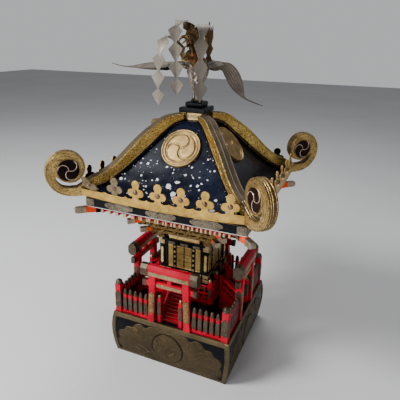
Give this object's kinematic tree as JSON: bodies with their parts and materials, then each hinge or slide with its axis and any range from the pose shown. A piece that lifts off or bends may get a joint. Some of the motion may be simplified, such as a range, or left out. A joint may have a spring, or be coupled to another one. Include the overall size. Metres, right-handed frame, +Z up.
{
  "type": "portable shrine",
  "caption": "Small lacquered portable shrine: hollow bulging base, fence, four gates, stairs, railed sanctuary with hinged doors, brackets, curved roof and sheet-metal phoenix.",
  "frame": {"origin": "centre of the underside of the base, on the surface that the shrine stands on", "axes": "+Z up; the front with the hinged doors faces -Y; +X is to the right as seen from the front"},
  "size_m": [0.6166, 0.6166, 0.9862],
  "materials": {
    "red_lacquer": "gloss vermilion lacquer on wood",
    "black_lacquer": "gloss black lacquer on wood",
    "base_brass": "dull aged embossed sheet brass",
    "door_brass": "aged embossed sheet brass on wood",
    "bracket_gold": "worn brown-gold leaf on carved wood",
    "pale_gold": "engraved pale gilt brass sheet",
    "grey_brass": "aged grey-beige engraved sheet brass"
  },
  "bodies": {
    "root": {"base": "black_lacquer", "base_panel_front": "base_brass", "base_panel_right": "base_brass", "base_panel_back": "base_brass", "base_panel_left": "base_brass", "fence_front_right": "red_lacquer", "fence_back_right": "red_lacquer", "fence_back_left": "red_lacquer", "fence_front_left": "red_lacquer", "torii_front": "red_lacquer", "torii_right": "red_lacquer", "torii_back": "red_lacquer", "torii_left": "red_lacquer", "stairs_front": "red_lacquer", "stairs_right": "red_lacquer", "stairs_back": "red_lacquer", "stairs_left": "red_lacquer", "veranda_deck": "red_lacquer", "veranda_railing_front_right": "red_lacquer", "veranda_railing_back_right": "red_lacquer", "veranda_railing_back_left": "red_lacquer", "veranda_railing_front_left": "red_lacquer", "sanctuary_plinth": "black_lacquer", "sanctuary_wall_front": "black_lacquer", "sanctuary_wall_right": "black_lacquer", "sanctuary_wall_back": "black_lacquer", "sanctuary_wall_left": "black_lacquer", "bracket_complex": "bracket_gold", "hip_rafter_front_right": "red_lacquer", "hip_rafter_back_right": "red_lacquer", "hip_rafter_back_left": "red_lacquer", "hip_rafter_front_left": "red_lacquer", "rafters_front": "red_lacquer", "rafters_right": "red_lacquer", "rafters_back": "red_lacquer", "rafters_left": "red_lacquer", "roof": "black_lacquer", "eave_plate_front": "pale_gold", "eave_plate_right": "pale_gold", "eave_plate_back": "pale_gold", "eave_plate_left": "pale_gold", "ridge_front_right": "pale_gold", "ridge_back_right": "pale_gold", "ridge_back_left": "pale_gold", "ridge_front_left": "pale_gold", "roof_medallion_front": "pale_gold", "roof_medallion_right": "pale_gold", "roof_medallion_back": "pale_gold", "roof_medallion_left": "pale_gold", "ridge_block": "pale_gold", "roban": "black_lacquer", "phoenix_body": "grey_brass", "phoenix_wing_left": "grey_brass", "phoenix_wing_right": "grey_brass", "phoenix_tail_centre": "grey_brass", "phoenix_tail_left": "grey_brass", "phoenix_tail_right": "grey_brass", "phoenix_tail_rear": "grey_brass"},
    "front_door_right": {"door_leaf_right": "door_brass"},
    "front_door_left": {"door_leaf_left": "door_brass"}
  },
  "joints": [
    {"name": "right_door_hinge", "type": "hinge", "parent": "root", "child": "front_door_right", "pos_m": [0.0256, -0.0742, 0.314], "axis": [0, 0, 1], "range_deg": [0, 95]},
    {"name": "left_door_hinge", "type": "hinge", "parent": "root", "child": "front_door_left", "pos_m": [-0.0256, -0.0742, 0.314], "axis": [0, 0, -1], "range_deg": [0, 95]}
  ]
}
